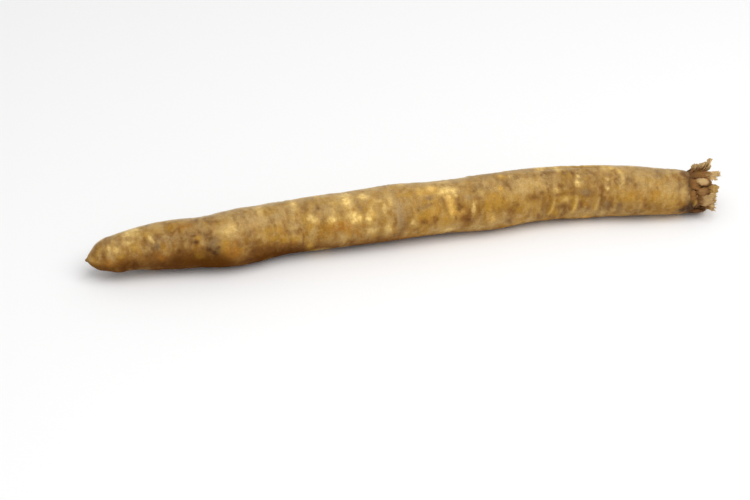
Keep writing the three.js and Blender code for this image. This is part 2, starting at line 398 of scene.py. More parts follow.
CREAM = [
    [224.6, 118, 1.8, 1.2, 0.6], [227.4, 88, 1.6, 1.4, 0.4], [177, 101, 2.0, 1.6, 0.6],
    [131, -10, 3.0, 1.4, 0.4], [231.2, 61, 1.6, 1.6, 0.5], [167.3, 34, 1.8, 1.4, 0.6],
    [120.8, -12, 3.0, 1.4, 0.5], [183.6, 0, 3.0, 1.4, 0.5], [202, -11, 3.0, 1.6, 0.75],
    [192.3, -11, 3.0, 1.5, 0.75], [159.8, 118, 3.0, 1.8, 0.8], [170.3, 88, 1.6, 1.6, 0.6],
    [168.4, 106, 2.2, 1.6, 0.6], [182.5, 119, 2.4, 1.8, 0.8], [141.5, 113, 2.0, 1.6, 0.7],
    [116, 86, 2.0, 2.0, 0.4], [5.6, 52, 0.8, 1.3, 0.5], [10.4, 74, 1.2, 1.2, 0.4],
    [15, 58, 1.4, 1.2, 0.4], [30.6, 3, 2.0, 2.4, 0.5], [32.6, 36, 1.5, 1.2, 0.5],
    [24, 60, 1.5, 0.9, 0.5], [46.5, 58, 0.9, 0.9, 0.7], [47.5, 28, 1.6, 1.8, 0.5],
    [51, 62, 1.3, 1.2, 0.8], [56, 40, 4.5, 2.8, 0.8], [59, 52, 2.2, 1.2, 0.5],
    [72, 33, 1.3, 1.0, 0.6], [78, 34, 1.2, 0.9, 0.6], [77, 44, 1.5, 0.8, 0.6],
    [84, 55, 1.5, 1.0, 0.45], [67, 62, 1.5, 0.8, 0.4], [95, 8, 6.5, 4.0, 0.15],
    [90, 92, 1.4, 2.0, 0.4], [97.4, 94, 0.8, 2.4, 0.4], [103, 97, 1.9, 2.6, 0.7],
    [118, 3, 3.0, 2.4, 0.4], [114, 86, 1.7, 2.0, 0.5], [126.6, 48, 1.2, 2.4, 0.6],
    [136.4, 33, 0.9, 1.4, 0.6], [140.6, 105, 1.2, 1.8, 0.7], [147.0, 113, 3.4, 2.8, 0.8],
    [151, 101, 1.6, 1.2, 0.4], [135, 4, 3.0, 2.0, 0.4], [217, 32, 2.0, 2.2, 0.4],
    [155, 20, 3.0, 1.4, 0.35], [158.5, 109, 2.4, 2.0, 0.6], [163, 12, 2.6, 0.8, -15, 0.4],
    [166, 93, 2.0, 1.9, 0.5], [165, 112, 1.2, 1.9, 0.4], [180.4, 28, 5.6, 3.0, 0.95],
    [178, 44, 4.0, 1.0, 0.5], [182.2, 113, 1.3, 2.0, 0.5], [187.5, 24, 1.6, 2.4, 0.5],
    [206.6, 60, 1.3, 0.6, 0.5], [206, 113, 5.5, 2.4, 0.75], [214.4, 116, 3.2, 2.2, 0.9],
    [212.2, 80, 0.7, 1.3, 0.6], [226, 8, 4.0, 2.4, 0.35], [225, 52, 1.0, 1.2, 0.5],
    [239.5, 51, 2.2, 2.4, 0.6], [232.4, 10, 1.3, 1.6, 0.5], [243, 30, 1.6, 1.4, 0.4],
    [247.5, 55, 1.0, 2.4, 0.4],
]
HONEY = [
    [141, 66, 1.4, 1.4, 0.35], [165, 94, 2.2, 2.4, 0.5], [141.5, 11, 2.4, 2.2, 0.7],
    [148, 40, 1.6, 2.2, 0.62], [148.2, 56, 1.1, 2.4, 0.62], [149, 69, 1.3, 2.0, 0.65],
    [153, 74, 1.2, 1.0, 0.4], [116, 52, 1.1, 2.0, 0.5], [172, -2, 1.0, 1.2, 0.6],
    [170, 32, 0.8, 0.9, 0.6], [192, 92, 0.8, 2.2, -7, 0.15], [202, 92, 0.8, 2.2, -8, 0.2],
    [222, 5, 1.2, 1.6, 0.4], [89.6, 108, 1.0, 1.8, 0.4], [99, 58, 2.0, 1.2, 0.4],
    [137, 20, 2.0, 1.8, 0.4],
]
ASHEN = [
    [127.2, 62, 2.3, 5.4, 0.9], [120.5, 20, 1.6, 2.0, 0.4], [140, 30, 2.2, 1.0, 0.5],
    [207, 60, 2.4, 1.3, 0.4], [67, 30, 4.0, 2.2, 0.35], [78, 24, 4.0, 2.0, 0.35],
    [33, 42, 3.0, 1.6, 0.35], [237, 20, 2.4, 2.0, 0.3],
]
GOLDEN = [
    [45.4, 86, 2.0, 1.6, 0.4], [170, 58, 8.0, 5.0, 0.4], [190, 76, 7.0, 4.0, 0.4],
    [206, 60, 8.0, 5.0, 0.35], [138, 60, 8.0, 6.0, 0.4], [2.5, 30, 2.4, 6.0, 0.3],
    [5.6, 8, 1.6, 3.0, 0.25], [13.5, 67, 1.9, 1.1, 0.5], [19, 48, 2.0, 1.6, 0.4],
    [35, 11, 2.6, 2.2, 0.75], [26, 20, 2.5, 1.6, 0.5], [45.4, 47, 1.4, 0.8, 0.8],
    [54.4, 66, 2.0, 3.0, 0.7], [76, 18, 3.0, 1.0, 0.5], [75, 56, 3.6, 1.1, 0.5],
    [74, 74, 2.2, 1.1, 0.6], [80.5, 85, 5.0, 0.8, 0.5], [89.6, 111, 1.2, 2.2, 0.7],
    [116, 26, 0.9, 1.6, 0.4], [112, 52, 5.0, 4.0, 0.4], [127.6, -6, 1.6, 2.2, 0.6],
    [131.4, 22, 2.0, 1.4, 0.6], [138, 72, 5.0, 3.0, 0.5], [146.6, 87, 2.8, 1.7, 0.8],
    [144, 24, 4.0, 2.0, 0.5], [137, 18, 2.6, 2.4, 0.6], [149.4, 66, 1.5, 2.4, 0.6],
    [154, 60, 2.0, 2.0, 0.4], [166, 45, 1.7, 1.1, 0.6], [169.6, 32, 1.3, 1.3, 0.8],
    [172, 0, 1.9, 2.1, 0.85], [165.5, 66, 4.5, 3.0, 0.6], [175.6, 51, 1.3, 1.1, 0.6],
    [191.4, 92, 1.3, 3.2, -7, 0.75], [201.6, 92, 1.4, 3.2, -8, 0.85],
    [210.6, 96, 1.1, 2.4, -8, 0.6], [207.4, 27, 1.2, 1.2, 0.5], [196.8, 63, 1.8, 1.4, 0.5],
    [200.5, 76, 1.2, 2.4, 0.6], [225, 72, 4.5, 2.8, 0.6], [232.6, 30, 1.5, 1.1, 0.5],
    [236, 72, 3.0, 2.4, 0.35], [208, -12, 4.0, 2.0, 0.5], [244, 72, 3.0, 2.0, 0.3],
]
STAINED = [
    [187.3, 66, 1.8, 1.4, 0.55], [176, 10, 2.0, 1.6, 0.45], [195.6, 66.5, 2.0, 1.4, 0.4],
    [19.4, 64, 2.2, 1.4, 0.4], [127.8, 97, 2.0, 1.8, 0.5], [14.2, 30, 1.0, 1.0, 0.35],
    [132, 73, 1.4, 1.4, 0.35], [198.7, 44, 1.8, 1.6, 0.45], [40.3, 44, 3.2, 2.6, 0.5],
    [131, 62, 1.6, 2.2, 0.45], [210.7, 60, 2.2, 1.8, 0.5], [157, 91, 1.5, 1.6, 0.8],
    [215, 33, 1.6, 1.6, 0.4], [60.6, 71, 1.8, 1.6, 0.5], [203.7, 54.5, 1.8, 1.4, 0.45],
    [25.1, 48.5, 1.4, 1.4, 0.45], [220, 118, 2.0, 1.4, 0.5], [4.0, 20, 1.2, 1.6, 0.5],
    [7.0, 45, 1.0, 1.4, 0.25], [9.6, 12, 1.3, 2.0, 0.45], [7.6, 62, 1.3, 2.0, 0.35],
    [13.4, 31, 1.0, 0.9, 0.5], [14.6, 3, 2.0, 2.8, 0.45], [38, 7, 5.5, 2.4, 0.18],
    [36.5, 52, 6.0, 3.4, 0.35], [38, 73, 3.2, 1.0, 0.85], [25, 77, 3.5, 1.3, 0.5],
    [39, 83, 4.5, 1.4, 0.6], [40.5, 90, 1.8, 2.4, 0.6], [53, 14, 2.2, 0.7, -8, 0.5],
    [44, 40.5, 1.1, 0.6, 0.8], [44.5, 56, 1.2, 0.75, 0.85], [49.3, 43, 2.0, 2.5, 0.65],
    [49, 72, 0.8, 1.0, 0.7], [61.5, 86, 1.1, 0.9, 0.6], [65.4, 74, 2.0, 1.0, 0.7],
    [65, 90, 1.3, 1.5, 0.85], [66.5, 93, 2.8, 2.4, 0.9], [71, 99, 3.4, 2.2, 0.7],
    [63.5, 57, 2.2, 1.6, 0.35], [75, 86, 1.6, 0.7, 0.6], [82.5, 68, 4.0, 1.1, 0.45],
    [86.8, 93, 0.5, 3.0, 0.8], [80.5, -2, 1.2, 2.6, 0.35], [94.3, 26, 0.8, 0.8, 0.75],
    [96, 60, 1.1, 1.0, 0.4], [94, 92, 1.4, 3.0, 0.35], [106.5, 115, 1.4, 1.8, 0.9],
    [118.6, 113, 2.0, 1.8, 0.7], [124.8, 70, 0.6, 2.2, 0.6], [129, 86, 1.1, 1.6, 0.5],
    [126, 108, 2.4, 2.0, 0.6], [134.5, 58, 0.8, 0.9, 0.65], [140, 48, 1.5, 0.6, 0.5],
    [136.7, 84, 1.7, 1.5, 0.8], [141.4, 80, 1.1, 2.2, 0.85], [145.6, 41, 0.7, 1.2, 0.7],
    [151.2, 43, 1.1, 2.5, 0.8], [151.6, 61, 1.3, 1.3, 0.85], [150, 83, 0.6, 0.8, 0.8],
    [154.9, 82, 2.3, 3.2, 10, 0.95], [152.6, 57, 1.6, 1.6, 0.35], [159.8, 74, 0.8, 2.6, 0.45],
    [154, 103, 2.5, 2.0, 0.35], [158.7, 30, 1.1, 1.1, 0.5], [159.5, 47, 1.8, 0.9, 0.45],
    [161.5, 60, 0.8, 1.6, 0.4], [173, 27, 1.2, 1.2, 0.6], [173.6, 38, 0.6, 0.8, 0.6],
    [175, 70, 2.5, 1.1, -12, 0.7], [172.6, 82, 1.4, 1.3, 0.75], [172.5, 108, 1.5, 2.1, 0.6],
    [177, 0, 4.0, 2.2, 0.35], [184, 61, 3.0, 0.9, 0.65], [187.3, 54, 1.6, 0.9, 0.6],
    [187.8, 85, 1.7, 2.3, 0.75], [185.6, 108, 1.0, 1.8, 0.65], [192, 12, 2.6, 3.6, 0.25],
    [198.5, 7, 1.3, 1.1, 0.6], [198, 61, 8.0, 0.7, 0.5], [196, 90, 3.0, 1.6, 0.65],
    [203.8, 88, 1.0, 2.6, -8, 0.55], [198, 24, 3.0, 2.4, 0.3], [210, 12, 1.2, 0.9, 0.6],
    [208.7, 30, 0.8, 1.3, 0.35], [208, 68, 3.0, 0.6, 0.5], [213.4, 72, 0.8, 4.5, 0.5],
    [214, 50, 1.2, 2.4, 0.4], [209.8, 52, 1.6, 0.7, 0.3], [231.8, 86, 0.8, 2.6, 0.65],
    [235.5, 97, 3.2, 2.6, 0.45], [228, 108, 1.2, 1.1, 0.55], [236.2, 48, 0.8, 0.9, 0.45],
    [227.6, 50, 0.9, 0.9, 0.35], [247, 90, 2.4, 1.6, 0.6], [249.6, -1, 1.0, 2.2, 0.5],
    [246.5, 106, 2.0, 1.6, 0.7], [244, 14, 1.5, 1.5, 0.3],
]
RUSTY = [
    [8.5, 85, 1.6, 1.6, 0.6], [30, 86, 1.5, 1.3, 0.6], [27.5, 72, 1.5, 1.0, 0.35],
    [41, 14, 3.0, 1.6, 0.5], [6, 66, 2.0, 1.6, 0.3], [12, 84, 2.6, 1.6, 0.15],
    [57.4, 86, 2.6, 3.0, 0.6], [103, 70, 4.8, 2.0, 0.75], [108.6, 84, 1.1, 1.6, 0.7],
    [112, 73, 1.3, 0.8, 0.5], [57, 70, 3.4, 2.4, 0.35], [154.8, 82, 3.0, 3.2, 0.75],
    [141.4, 80, 1.5, 2.6, 0.6], [151.3, 43, 1.2, 1.7, 0.5], [136.6, 84, 2.2, 1.8, 0.4],
    [172.4, 82, 1.8, 1.6, 0.4],
]
GREYED = [
    [28.5, 56, 1.6, 1.5, 1.0], [29, 38, 1.0, 0.8, 0.6], [46, 8, 4.6, 2.8, 0.4],
    [50.8, 66, 2.5, 3.0, 1.0], [103, 33, 1.0, 2.4, 0.65], [111.2, 30, 1.0, 1.9, 0.75],
    [112, 45, 1.5, 1.6, 0.65], [127.0, 72, 1.0, 2.0, 0.3], [140, 35, 1.8, 0.9, 0.85],
    [137, 52, 3.6, 1.2, 0.5], [160.5, 22, 3.2, 1.6, 0.4], [157, 42, 2.4, 1.2, 0.45],
    [207, 60, 2.6, 1.4, 0.55], [216.6, 92, 1.7, 2.4, -8, 0.75], [221.5, 98, 1.2, 3.0, -8, 0.85],
    [237, -2, 2.0, 2.5, 0.5], [247, 31, 1.5, 1.8, 0.4], [88.5, 12, 2.0, 3.0, 0.4],
]
SOILED = [
    [44, 41, 0.6, 0.35, 0.4], [44.5, 57, 0.7, 0.4, 0.5], [51.2, 81, 1.5, 1.6, 0.85],
    [48.9, 75, 0.9, 1.1, 0.7], [52.6, 72, 0.7, 0.9, 0.6], [47.9, 41, 0.5, 1.1, 0.45],
    [49.4, 49, 0.8, 0.5, 0.5], [65, 90, 0.8, 0.9, 0.4], [151.6, 64, 0.7, 0.4, 0.3],
    [155.4, 84, 1.2, 1.2, 0.25], [158.6, 30, 0.7, 0.7, 0.3], [250.2, 95, 1.2, 2.8, 0.85],
    [250.3, 42, 0.9, 2.2, 0.55], [251.0, 17, 1.3, 1.4, 0.75], [248.4, 110, 3.4, 2.6, 0.9],
    [251.6, 124, 1.6, 3.0, 0.6], [38, 73, 1.8, 0.4, 0.35], [0.2, 60, 0.8, 3.0, 0.6],
]

# The side that is turned away has marks of the same kinds, strewn at random: how many of each.
AWAY = (128, 338)
STREWN = {
    "pale": 45, "cream": 45, "honey": 16, "golden": 50, "ashen": 14, "stained": 70, "rusty": 14,
    "greyed": 20, "soiled": 12,
}

ragged_station = station + 0.5 * layered(skin_place, 2.6, 61) + 0.35 * lumps(skin_place, 1.0, 63)
ragged_turn = 0.5 * layered(skin_place, 2.6, 65) + 0.35 * lumps(skin_place, 1.0, 67)
ragged_angle = angle + ragged_turn / np.maximum(radius, 2)


def cover(marks):
    """How far marks cover each point: each is full in its middle and fades at a ragged edge, and
    together they leave bare what none of them covers."""
    bare_share = np.ones(station.shape)
    for at, middle, half_length, half_width, *slant, strength in marks:
        run = ragged_station - at
        turn = wrap(ragged_angle - np.radians(middle)) * radius
        tilt = np.radians(slant[0]) if slant else 0
        ahead = (run * np.cos(tilt) - turn * np.sin(tilt)) / half_length
        beside = (turn * np.cos(tilt) + run * np.sin(tilt)) / half_width
        core = np.exp(-(ahead ** 2 + beside ** 2) ** 1.5)
        halo = np.exp(-(ahead ** 2 + beside ** 2) / 2)
        bare_share *= 1 - strength * (0.68 * core + 0.32 * halo)
    return 1 - bare_share


def strewn(count):
    """Random marks on the side that is turned away, of about the sizes of the others."""
    return np.stack([
        draw.uniform(6, 247, count),
        draw.uniform(*AWAY, count),
        draw.uniform(0.8, 2.8, count),
        draw.uniform(0.9, 2.8, count),
        draw.normal(0, 12, count),
        draw.uniform(0.35, 0.95, count),
    ], -1)


all_marks = {
    "pale": PALE, "cream": CREAM, "honey": HONEY, "golden": GOLDEN, "ashen": ASHEN,
    "stained": STAINED, "rusty": RUSTY, "greyed": GREYED, "soiled": SOILED,
}
covers = {name: cover(marks + strewn(STREWN[name]).tolist()) for name, marks in all_marks.items()}
covers["pale"] = np.maximum(covers["pale"], 0.34 * long_fold * step_up(station, *LONG_FOLD_RISE))

# How brown the whole skin is at each station, and the darker underside, partly brown stain and partly
# painted shade: the degrees from the top at which it begins, and how strong it is.
BROWNING = [
    [0, 0.50], [8, 0.32], [16, 0.24], [34, 0.42], [50, 0.30], [62, 0.22], [85, 0.12], [130, 0.12],
    [155, 0.18], [172, 0.30], [184, 0.20], [194, 0.42], [212, 0.38], [220, 0.22], [244, 0.16],
    [249, 0.40], [260, 0.9],
]
BROWN_EDGE = [
    [0, 82], [9, 74], [16, 61], [23, 72], [31, 72], [40, 62], [52, 68], [60, 84], [68, 76], [78, 84],
    [90, 94], [110, 104], [125, 106], [138, 122], [170, 128], [205, 126], [222, 116], [240, 110],
]
UNDER_SHARE = [
    [0, 0.8], [10, 0.8], [16, 0.86], [24, 0.76], [32, 0.8], [42, 1], [54, 1], [60, 0.72], [68, 1],
    [84, 0.9], [110, 0.7], [126, 0.7], [145, 0.45], [165, 0.3], [180, 0.12], [240, 0.12], [248, 0.5],
]
PALE_SIDE = 5  # the angle of the middle of the paler side
covers["browning"] = np.clip(through(BROWNING)(station), 0, 1)
from_top = np.abs(wrap(ragged_angle - np.radians(PALE_SIDE)))
edge = np.radians(through(BROWN_EDGE)(station))
under_share = np.clip(through(UNDER_SHARE)(station), 0, 1)
covers["underside"] = under_share * step_up(from_top, edge - 0.38, edge + 0.62)
covers["warmth"] = step_up(from_top + 0.25 * lumps(skin_place, 9, 71), 0.35, 1.15)
# Painted shade in the sunk middles of the scars: the deeper the pit, the darker.
covers["pitted"] = np.clip(2.0 * pits, 0, 1)
# Painted shade: the hollows of the ring folds and the foot under the long fold are painted darker
# brown.
shade_under_long_fold = 0.5 * long_fold_foot * step_up(station, *LONG_FOLD_RISE)
covers["fold_hollow_shade"] = np.clip(2.0 * hollows + shade_under_long_fold, 0, 1)
# A faint dry bloom on the sides that face up catches the light where it grazes the skin.
covers["bloom"] = 0.85 * np.clip(0.5 + 0.9 * np.cos(angle), 0, 1) * (1 - on_crown)
covers["crest"] = np.clip(0.5 + 1.1 * (ridges - hollows) + (wrinkles + fine_grain + bumps), 0, 1)
browned = 0.9 * step_up(ragged_station, 247.2, 250.6) * (0.80 + 0.5 * lumps(skin_place, 1.8, 73))
covers["crown"] = np.clip(np.maximum(browned, on_crown) * (1 - 0.95 * lump_on_collar), 0, 1)


def grown(name, shells, material):
    """A mesh of closed shells. A shell is rings of points, each ring closed on itself, and its first
    and last rings are closed by joining their two halves across; with it go grids of values."""
    points, faces, values = [], [], {}
    first = 0
    for rings, grids in shells:
        rows, columns = rings.shape[:2]
        number = first + np.arange(rows * columns).reshape(rows, columns)
        first += rows * columns
        beside = np.roll(number, -1, axis=1)
        quads = np.stack([number[:-1], beside[:-1], beside[1:], number[1:]], -1)
        faces += quads.reshape(-1, 4).tolist()
        near = np.arange(columns // 2)
        for ring in (number[0, ::-1], number[-1]):
            across = np.stack([ring[near], ring[near + 1], ring[-near - 1], ring[-near]], -1)
            faces += across[1:-1].tolist() + [across[0, :3].tolist(), across[-1, [0, 1, 3]].tolist()]
        points.append(rings.reshape(-1, 3))
        for key, grid in grids.items():
            full = np.broadcast_to(grid, (rows, columns) + np.shape(grid)[2:])
            values.setdefault(key, []).append(full.reshape(rows * columns, -1))
    mesh = bpy.data.meshes.new(name)
    mesh.from_pydata(np.concatenate(points) * MM, [], faces)
    for key, parts in values.items():
        flat = np.concatenate(parts)
        kind, field = ("FLOAT_VECTOR", "vector") if flat.shape[1] == 3 else ("FLOAT", "value")
        mesh.attributes.new(key, kind, "POINT").data.foreach_set(field, flat.astype(np.float32).ravel())
    mesh.shade_smooth()
    mesh.materials.append(material)
    piece = bpy.data.objects.new(name, mesh)
    bpy.context.scene.collection.objects.link(piece)
    return piece


# ---------- Taproot: the look of its skin ----------
# Thin cork scrubbed almost through: ochre and tan, mottled at several sizes, matt, with a faint
# waxy shine on the worn crests and a dry bloom on the sides that face up.

def add_node(tree, kind, inputs, **settings):
    """Adds a node. Each input is given a value, or the output that feeds it."""
    node = tree.nodes.new(kind)
    for name, setting in settings.items():
        setattr(node, name, setting)
    for key, value in inputs.items():
        if isinstance(value, bpy.types.NodeSocket):
            tree.links.new(value, node.inputs[key])
        else:
            node.inputs[key].default_value = value
    return node


def calc(tree, operation, *values):
    """The result of a sum on one to three numbers."""
    return add_node(tree, "ShaderNodeMath", dict(enumerate(values)), operation=operation).outputs[0]


def vector_calc(tree, operation, vector, other):
    """The result of a sum on a vector and, for SCALE, a number or else another vector."""
    inputs = {0: vector, "Scale" if operation == "SCALE" else 1: other}
    return add_node(tree, "ShaderNodeVectorMath", inputs, operation=operation).outputs[0]


def rise(tree, value, low, high, bottom=0.0, top=1.0):
    """A smooth rise from bottom to top as the value goes from low to high."""
    inputs = {"Value": value, "From Min": low, "From Max": high, "To Min": bottom, "To Max": top}
    return add_node(tree, "ShaderNodeMapRange", inputs, interpolation_type="SMOOTHSTEP").outputs[0]


FACTOR, COLOUR_A, COLOUR_B, COLOUR_OUT = 0, 6, 7, 2  # the colour sockets of a Mix node


def paint(tree, under, over, factor):
    """One colour laid over another, as far as the factor says."""
    inputs = {FACTOR: factor, COLOUR_A: under, COLOUR_B: over}
    return add_node(tree, "ShaderNodeMix", inputs, data_type="RGBA").outputs[COLOUR_OUT]


def value_of(tree, name, output="Fac"):
    """The values stored on the mesh under a name: numbers, or with "Vector" places."""
    return add_node(tree, "ShaderNodeAttribute", {}, attribute_name=name).outputs[output]


def new_group(name, inputs, outputs):
    """A node group with named sockets; returns it with its inputs' node and its outputs' node."""
    group = bpy.data.node_groups.new(name, "ShaderNodeTree")
    for label, kind in inputs.items():
        group.interface.new_socket(label, in_out="INPUT", socket_type="NodeSocket" + kind)
    for label, kind in outputs.items():
        group.interface.new_socket(label, in_out="OUTPUT", socket_type="NodeSocket" + kind)
    return group, group.nodes.new("NodeGroupInput"), group.nodes.new("NodeGroupOutput")


# Mottle: ragged patches. Size is their width, Stretch squeezes them along each axis, Cover is the
# share left bare, and Edge how softly they end.
mottle_inputs = {"Place": "Vector", "Stretch": "Vector"}
mottle_inputs |= dict.fromkeys(["Size", "Seed", "Cover", "Edge"], "Float")
mottle, given, result = new_group("Mottle", mottle_inputs, {"Mask": "Float", "Lumps": "Float"})
squeezed = vector_calc(mottle, "MULTIPLY", given.outputs["Place"], given.outputs["Stretch"])
sized = vector_calc(mottle, "SCALE", squeezed, calc(mottle, "DIVIDE", 1.0, given.outputs["Size"]))
moved = vector_calc(mottle, "ADD", sized, given.outputs["Seed"])
noise = {"Vector": moved, "Scale": 1.0, "Detail": 1.3, "Roughness": 0.45}
lumpy = add_node(mottle, "ShaderNodeTexNoise", noise).outputs["Fac"]
low = calc(mottle, "SUBTRACT", given.outputs["Cover"], given.outputs["Edge"])
high = calc(mottle, "ADD", given.outputs["Cover"], given.outputs["Edge"])
mottle.links.new(rise(mottle, lumpy, low, high), result.inputs["Mask"])
mottle.links.new(lumpy, result.inputs["Lumps"])


def new_material(name):
    """A material with only a Principled shader and its output; returns it, its tree and shader."""
    material = bpy.data.materials.new(name)
    material.use_nodes = True
    tree = material.node_tree
    return material, tree, tree.nodes["Principled BSDF"]


BEIGE = (0.430, 0.268, 0.092, 1)
OCHRE = (0.410, 0.208, 0.032, 1)
OLIVE = (0.330, 0.212, 0.072, 1)
GOLD = (0.450, 0.238, 0.026, 1)
STRAW = (0.530, 0.345, 0.125, 1)
BROWN = (0.150, 0.056, 0.009, 1)
RUST = (0.370, 0.140, 0.008, 1)
GREY_CORK = (0.220, 0.134, 0.056, 1)
WORN = (0.930, 0.640, 0.210, 1)
HONEYED = (0.820, 0.480, 0.105, 1)
ASH = (0.400, 0.270, 0.125, 1)
# Near-black for the soil stains and for the painted shade in the scar pits.
SOIL_AND_PIT_SHADE = (0.045, 0.017, 0.004, 1)
# The underside's colours: brown stain together with painted shade.
UNDER_WARM_STAIN_AND_SHADE = (0.215, 0.086, 0.013, 1)
UNDER_BROWN_STAIN_AND_SHADE = (0.098, 0.033, 0.005, 1)
CROWN_BROWN = (0.115, 0.050, 0.014, 1)
CROWN_TAN = (0.240, 0.130, 0.048, 1)
EVEN = (1.0, 1.0, 1.0)
WIDE = (1.3, 0.72, 0.72)  # lumps a little wider round the root than along it

skin_material, tree, shader = new_material("root_skin")
spot = value_of(tree, "skin_place", "Vector")
mark = {name: value_of(tree, name) for name in covers}


def times(value, factor):
    """The product of two numbers of the skin's tree."""
    return calc(tree, "MULTIPLY", value, factor)


def patches(size, seed, cover_share, edge, stretch=EVEN):
    """A Mottle group in the skin's tree, with its own values."""
    inputs = {"Place": spot, "Stretch": stretch, "Size": size, "Seed": seed}
    inputs |= {"Cover": cover_share, "Edge": edge}
    return add_node(tree, "ShaderNodeGroup", inputs, node_tree=mottle).outputs


# The broad patches: (strength, colour, size, seed, cover, edge, stretch).
BROAD_PATCHES = [
    (0.45, OLIVE, 11, 3, 0.52, 0.12, EVEN), (0.65, GOLD, 6.0, 11, 0.52, 0.14, EVEN),
    (0.55, STRAW, 4.2, 17, 0.53, 0.12, WIDE), (0.28, RUST, 4.6, 19, 0.56, 0.12, WIDE),
]
colour = paint(tree, BEIGE, OCHRE, mark["warmth"])
for strength, over, *values in BROAD_PATCHES:
    colour = paint(tree, colour, over, times(patches(*values)["Mask"], strength))
brown_lumps = patches(5.0, 23, 0.50, 0.16, WIDE)["Lumps"]
browning = times(mark["browning"], rise(tree, brown_lumps, 0.36, 0.66, 0.15, 1.7))
brown_flecks = times(patches(3.0, 29, 0.55, 0.12, WIDE)["Mask"], 0.34)
browning = calc(tree, "MINIMUM", calc(tree, "ADD", browning, brown_flecks), 0.9)
colour = paint(tree, colour, BROWN, browning)
colour = paint(tree, colour, STRAW, times(patches(2.2, 31, 0.56, 0.10)["Mask"], 0.35))

# The marks are stronger or weaker with the skin's own grain, and the pale ones fade under the
# underside's brown stain and painted shade.
grain = patches(1.7, 37, 0.50, 0.14)["Lumps"]
more_in_grain = rise(tree, grain, 0.34, 0.62, 0.65, 1.1)
uneven = rise(tree, grain, 0.34, 0.62, 0.90, 1.05)
uneven = times(uneven, rise(tree, brown_lumps, 0.36, 0.66, 0.90, 1.08))
underside = times(mark["underside"], uneven)
off_underside = calc(tree, "MULTIPLY_ADD", underside, -0.7, 1.0)
less_in_grain = times(rise(tree, grain, 0.34, 0.62, 1.12, 0.60), off_underside)
# The underside: brown stain together with painted shade, in two steps that darken further round
# underneath.
colour = paint(tree, colour, UNDER_WARM_STAIN_AND_SHADE, rise(tree, underside, 0.0, 0.50, 0.0, 0.80))
colour = paint(tree, colour, UNDER_BROWN_STAIN_AND_SHADE, rise(tree, underside, 0.25, 0.95))
PAINTED = [
    ("golden", GOLD, more_in_grain), ("rusty", RUST, more_in_grain),
    ("cream", STRAW, less_in_grain), ("ashen", ASH, less_in_grain),
    ("greyed", GREY_CORK, less_in_grain), ("fold_hollow_shade", BROWN, 0.6),
    ("stained", BROWN, more_in_grain), ("honey", HONEYED, less_in_grain),
]
for name, over, strength in PAINTED:
    colour = paint(tree, colour, over, times(mark[name], strength))
lit_side = calc(tree, "SUBTRACT", 1.0, mark["underside"])
crest_worn = times(times(rise(tree, mark["crest"], 0.60, 1.1), 0.34), lit_side)
worn = calc(tree, "MAXIMUM", times(mark["pale"], less_in_grain), crest_worn)
colour = paint(tree, colour, WORN, worn)
# Soil stains, and painted shade in the scar pits, in one near-black colour.
deep = calc(tree, "MAXIMUM", times(mark["pitted"], 0.35), times(mark["soiled"], more_in_grain))
crown_mottle = patches(1.6, 53, 0.50, 0.10)["Mask"]
crown_colour = paint(tree, CROWN_BROWN, CROWN_TAN, times(crown_mottle, 0.6))
colour = paint(tree, colour, crown_colour, mark["crown"])
colour = paint(tree, colour, SOIL_AND_PIT_SHADE, deep)
fine = patches(0.9, 43, 0.50, 0.20)["Lumps"]
specks = patches(0.30, 59, 0.50, 0.20, WIDE)["Lumps"]
speckle = times(rise(tree, fine, 0.30, 0.70, 0.95, 1.05), rise(tree, specks, 0.30, 0.70, 0.86, 1.14))
tree.links.new(vector_calc(tree, "SCALE", colour, speckle), shader.inputs["Base Color"])

tree.links.new(rise(tree, worn, 0.0, 1.0, 0.66, 0.52), shader.inputs["Roughness"])
tree.links.new(times(lit_side, 0.12), shader.inputs["Specular IOR Level"])
tree.links.new(times(mark["bloom"], lit_side), shader.inputs["Sheen Weight"])
shader.inputs["Sheen Roughness"].default_value = 0.38
shader.inputs["Sheen Tint"].default_value = (1, 0.92, 0.68, 1)
dust = patches(0.38, 47, 0.50, 0.20)["Lumps"]
creases = patches(0.75, 61, 0.50, 0.20, (2.4, 0.45, 0.45))["Lumps"]
roughened = calc(tree, "MULTIPLY_ADD", grain, 0.8, calc(tree, "MULTIPLY_ADD", dust, 0.45, fine))
roughened = calc(tree, "MULTIPLY_ADD", creases, 0.8, roughened)
bump_inputs = {"Height": roughened, "Strength": 0.26, "Distance": 0.25 * MM}
bump = add_node(tree, "ShaderNodeBump", bump_inputs)
tree.links.new(bump.outputs["Normal"], shader.inputs["Normal"])

taproot = grown("taproot_skin", [(skin, {"skin_place": skin_place, **covers})], skin_material)
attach(taproot, "root")
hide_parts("taproot")


# ---------- Leaf stubs ----------
# Ten stubs of dry leaf bases, rows of tough brown sheaths grown round the crown. They were left when
# the leaves were torn off, and their torn ends are frayed into pale fibres.

STUB_TAPER = 0.25  # share of its width that a sheath loses towards its end
SHEATH_ROWS = 40
SHEATH_SIDES = 56
FIBRE_ROWS = 7
FIBRE_SIDES = 6
FIBRE_RADIUS = 0.18
ENDLESS = 1e6  # a size of lumps for the ways along which they don't change
SEED_STEP = 7  # how far apart the sheaths lie in the place that their grain is read from
